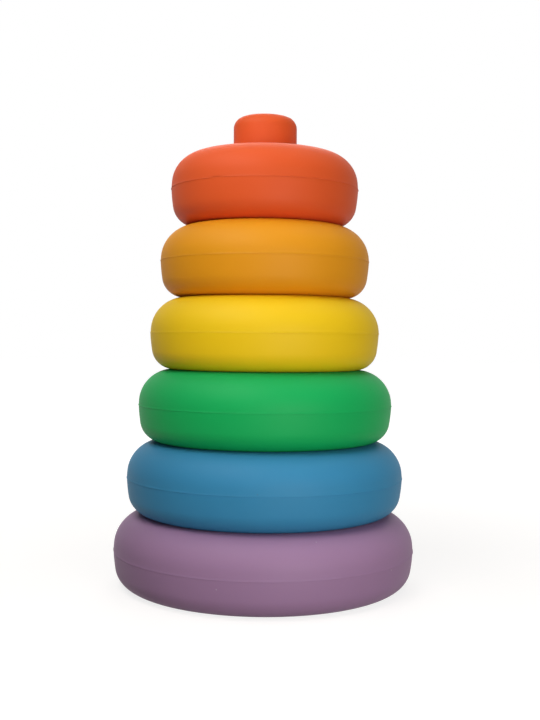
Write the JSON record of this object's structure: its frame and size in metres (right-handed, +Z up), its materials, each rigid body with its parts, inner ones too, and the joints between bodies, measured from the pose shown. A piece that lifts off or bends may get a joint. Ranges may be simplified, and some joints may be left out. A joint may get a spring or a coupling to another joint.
{
  "type": "stacking ring toy",
  "caption": "Soft silicone stacking toy: hollow rounded rings of falling size in rainbow colours, threaded on a central post seated in the purple base ring.",
  "frame": {"origin": "centre of the base ring's resting face, on the post's axis", "axes": "+Z up along the post, from the resting face to the post's tip; +X to the right and -Y towards the viewer"},
  "size_m": [0.12, 0.12, 0.187],
  "materials": {
    "silicone_purple": "matt moulded silicone",
    "silicone_blue": "matt moulded silicone",
    "silicone_green": "matt moulded silicone",
    "silicone_yellow": "matt moulded silicone",
    "silicone_orange": "matt moulded silicone",
    "silicone_red": "matt moulded silicone"
  },
  "bodies": {
    "base": {"base_ring_lower_shell": "silicone_purple", "base_ring_upper_shell": "silicone_purple", "post": "silicone_red"},
    "blue_ring": {"blue_ring_lower_shell": "silicone_blue", "blue_ring_upper_shell": "silicone_blue"},
    "green_ring": {"green_ring_lower_shell": "silicone_green", "green_ring_upper_shell": "silicone_green"},
    "yellow_ring": {"yellow_ring_lower_shell": "silicone_yellow", "yellow_ring_upper_shell": "silicone_yellow"},
    "orange_ring": {"orange_ring_lower_shell": "silicone_orange", "orange_ring_upper_shell": "silicone_orange"},
    "red_ring": {"red_ring_lower_shell": "silicone_red", "red_ring_upper_shell": "silicone_red"}
  },
  "joints": [
    {"name": "blue_ring_lift", "type": "slide", "parent": "base", "child": "blue_ring", "axis": [0, 0, 1], "range_m": [0, 0.165]},
    {"name": "green_ring_lift", "type": "slide", "parent": "blue_ring", "child": "green_ring", "axis": [0, 0, 1], "range_m": [0, 0.137]},
    {"name": "yellow_ring_lift", "type": "slide", "parent": "green_ring", "child": "yellow_ring", "axis": [0, 0, 1], "range_m": [0, 0.108]},
    {"name": "orange_ring_lift", "type": "slide", "parent": "yellow_ring", "child": "orange_ring", "axis": [0, 0, 1], "range_m": [0, 0.08]},
    {"name": "red_ring_lift", "type": "slide", "parent": "orange_ring", "child": "red_ring", "axis": [0, 0, 1], "range_m": [0, 0.05]}
  ]
}
